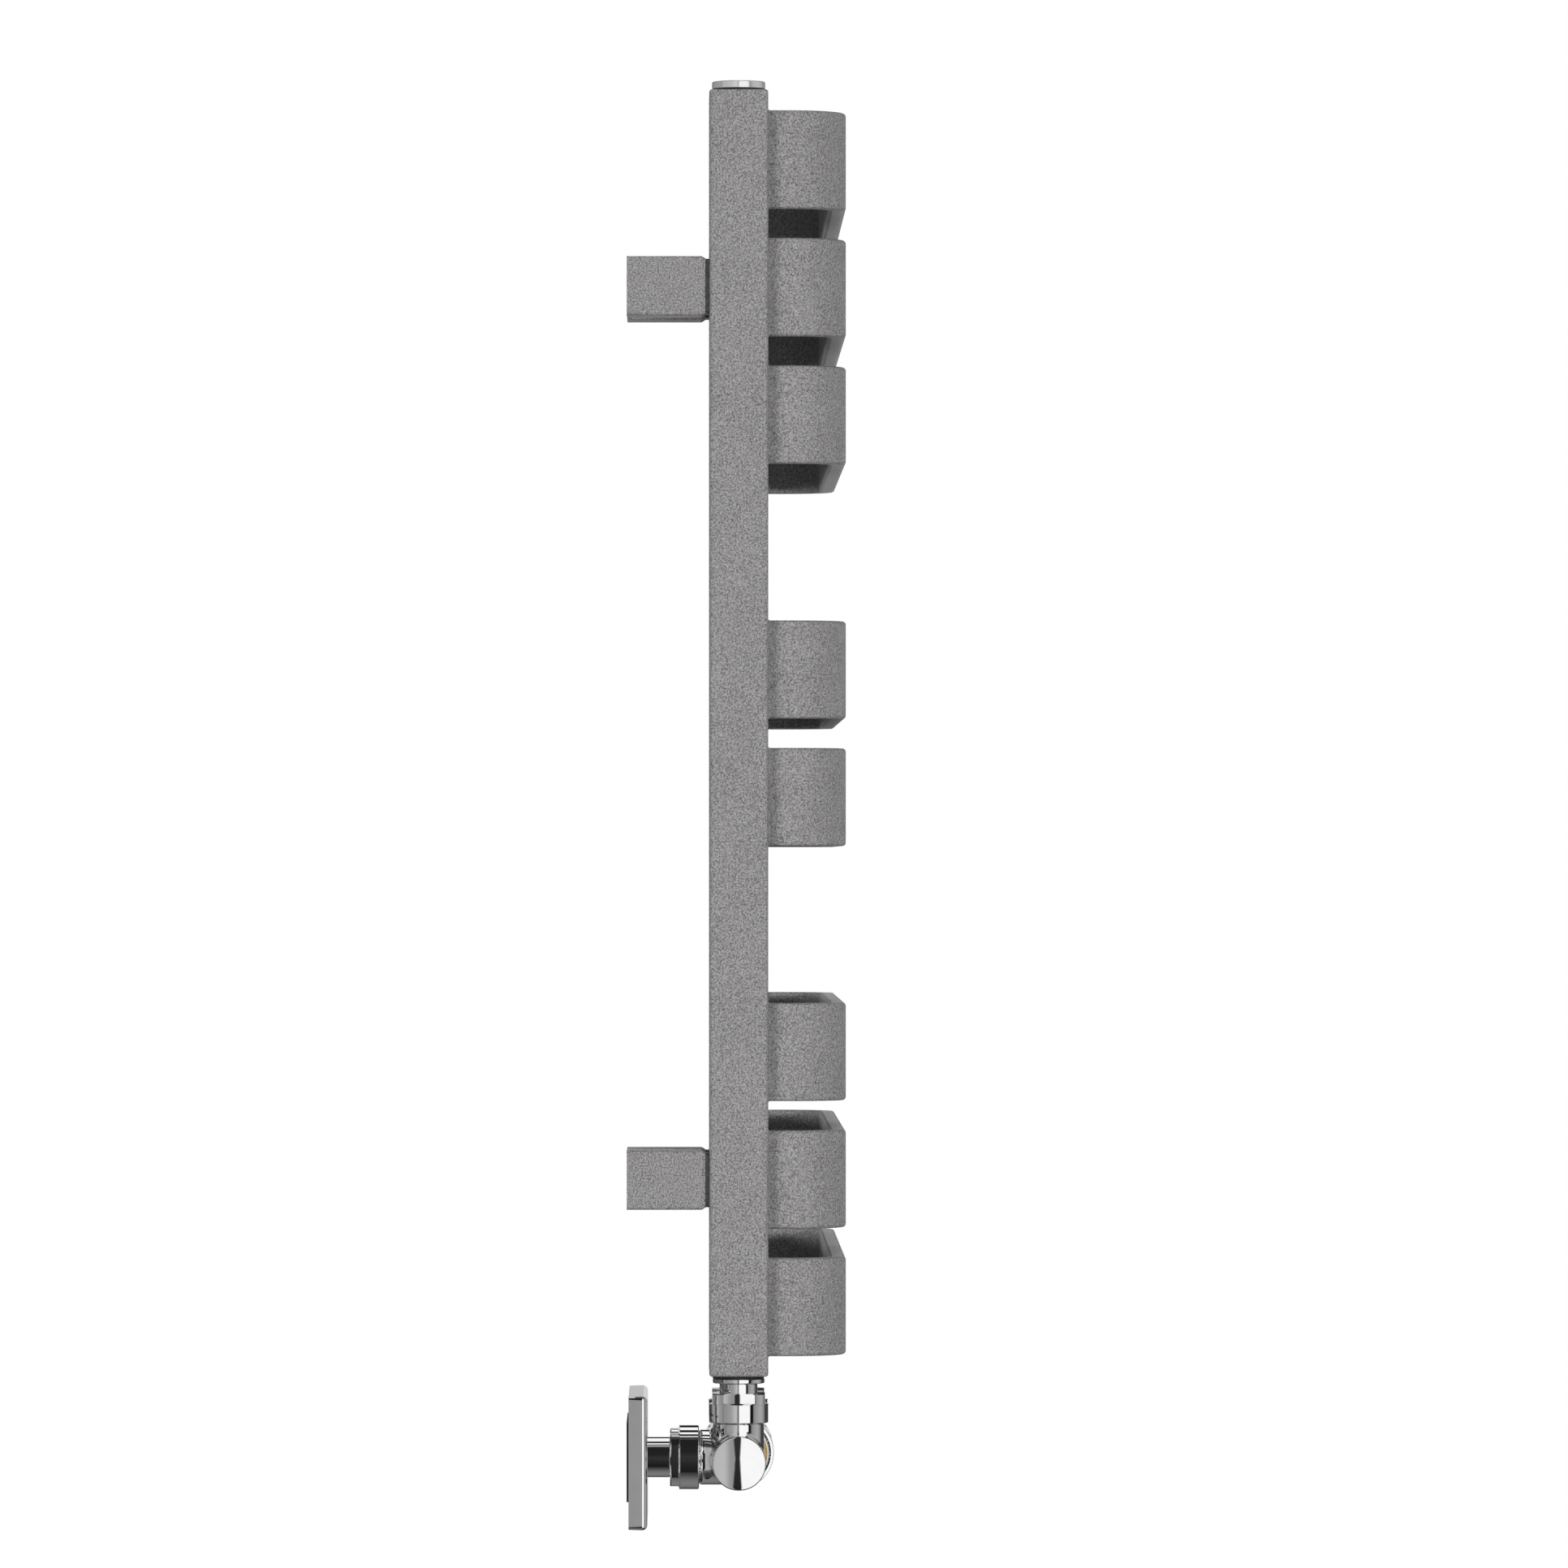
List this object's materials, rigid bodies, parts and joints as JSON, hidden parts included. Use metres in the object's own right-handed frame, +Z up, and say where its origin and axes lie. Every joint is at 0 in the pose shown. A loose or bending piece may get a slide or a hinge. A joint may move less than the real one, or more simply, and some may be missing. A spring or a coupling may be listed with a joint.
{
  "type": "radiator with valve",
  "caption": "Wall-hung towel radiator of flat bent bands on two square collectors, with a chrome twin valve, thermostatic head, lockshield and cover plate.",
  "frame": {"origin": "middle of the four wall screw holes, on the wall plane", "axes": "+Z up, +Y into the wall, +X along the width away from the collectors"},
  "size_m": [0.526, 0.112, 0.7364],
  "materials": {
    "powder_coat": "fine textured speckled mid-grey powder coat",
    "zinc_steel": "zinc-plated steel",
    "chrome_plate": "polished chrome plate",
    "bare_brass": "turned brass",
    "stainless_steel": "drawn stainless steel",
    "black_rubber": "matt black rubber",
    "head_plastic": "moulded dark plastic"
  },
  "bodies": {
    "radiator": {"return_collector": "powder_coat", "flow_collector": "powder_coat", "return_top_end": "powder_coat", "return_bottom_end": "powder_coat", "flow_top_end": "powder_coat", "flow_bottom_end": "powder_coat", "heating_band_1": "powder_coat", "heating_band_2": "powder_coat", "heating_band_3": "powder_coat", "heating_band_4": "powder_coat", "heating_band_5": "powder_coat", "heating_band_6": "powder_coat", "heating_band_7": "powder_coat", "heating_band_8": "powder_coat", "bracket_sleeve_1": "powder_coat", "bracket_sleeve_2": "powder_coat", "bracket_sleeve_3": "powder_coat", "bracket_sleeve_4": "powder_coat", "bracket_stub_1": "powder_coat", "bracket_stub_2": "powder_coat", "bracket_stub_3": "powder_coat", "bracket_stub_4": "powder_coat", "bracket_wall_base_1": "zinc_steel", "bracket_wall_base_2": "zinc_steel", "bracket_wall_base_3": "zinc_steel", "bracket_wall_base_4": "zinc_steel", "bracket_grub_screws": "zinc_steel", "vent_plug": "chrome_plate", "blanking_plug": "chrome_plate", "return_union_tail": "chrome_plate", "flow_union_tail": "chrome_plate", "return_union_nut": "chrome_plate", "flow_union_nut": "chrome_plate", "return_pipe_nut": "chrome_plate", "flow_pipe_nut": "chrome_plate", "return_pipe_sleeve": "chrome_plate", "flow_pipe_sleeve": "chrome_plate", "valve_body": "chrome_plate", "head_collar_nut": "chrome_plate", "pipe_olives": "bare_brass", "insert_housing": "bare_brass", "lockshield_gland": "bare_brass", "return_spring": "stainless_steel", "plug_seals": "black_rubber", "tail_seals": "black_rubber", "union_washers": "black_rubber", "spindle_seal_rings": "black_rubber", "head_base": "head_plastic"},
    "bleed_screw": {"bleed_screw": "bare_brass"},
    "cover_plate": {"cover_plate": "chrome_plate", "plate_gasket": "black_rubber"},
    "lockshield_cap": {"lockshield_cap": "chrome_plate"},
    "lockshield_spindle": {"lockshield_spindle": "bare_brass"},
    "lockshield_plug": {"lockshield_plug": "bare_brass"},
    "head_handle": {"head_handle": "chrome_plate", "head_end_cap": "chrome_plate"},
    "valve_pin": {"valve_pin": "stainless_steel", "valve_plug": "black_rubber", "sensor_capsule": "bare_brass"}
  },
  "joints": [
    {"name": "bleed_screw_turn", "type": "hinge", "parent": "radiator", "child": "bleed_screw", "pos_m": [-0.025, -0.057, 0.3275], "axis": [0, 0, 1], "range_deg": [0, 360]},
    {"name": "cover_plate_slide", "type": "slide", "parent": "radiator", "child": "cover_plate", "axis": [0, -1, 0], "range_m": [0, 0.011]},
    {"name": "lockshield_cap_slide", "type": "slide", "parent": "radiator", "child": "lockshield_cap", "axis": [-1, 0, 0], "range_m": [0, 0.03]},
    {"name": "lockshield_spindle_turn", "type": "hinge", "parent": "radiator", "child": "lockshield_spindle", "pos_m": [-0.05, -0.057, -0.3703], "axis": [1, 0, 0], "range_deg": [-360, 720]},
    {"name": "lockshield_plug_slide", "type": "slide", "parent": "radiator", "child": "lockshield_plug", "axis": [1, 0, 0], "range_m": [-0.001, 0.002]},
    {"name": "head_turn", "type": "hinge", "parent": "radiator", "child": "head_handle", "pos_m": [0.08, -0.057, -0.3703], "axis": [1, 0, 0], "range_deg": [-180, 120]},
    {"name": "valve_pin_slide", "type": "slide", "parent": "radiator", "child": "valve_pin", "axis": [1, 0, 0], "range_m": [-0.0012, 0.0008], "deforming": ["return_spring"]}
  ],
  "couplings": [
    {"joint": "lockshield_plug_slide", "follows": "lockshield_spindle_turn", "m_per_rad": 0.00015915},
    {"joint": "valve_pin_slide", "follows": "head_turn", "m_per_rad": 0.00038197}
  ]
}
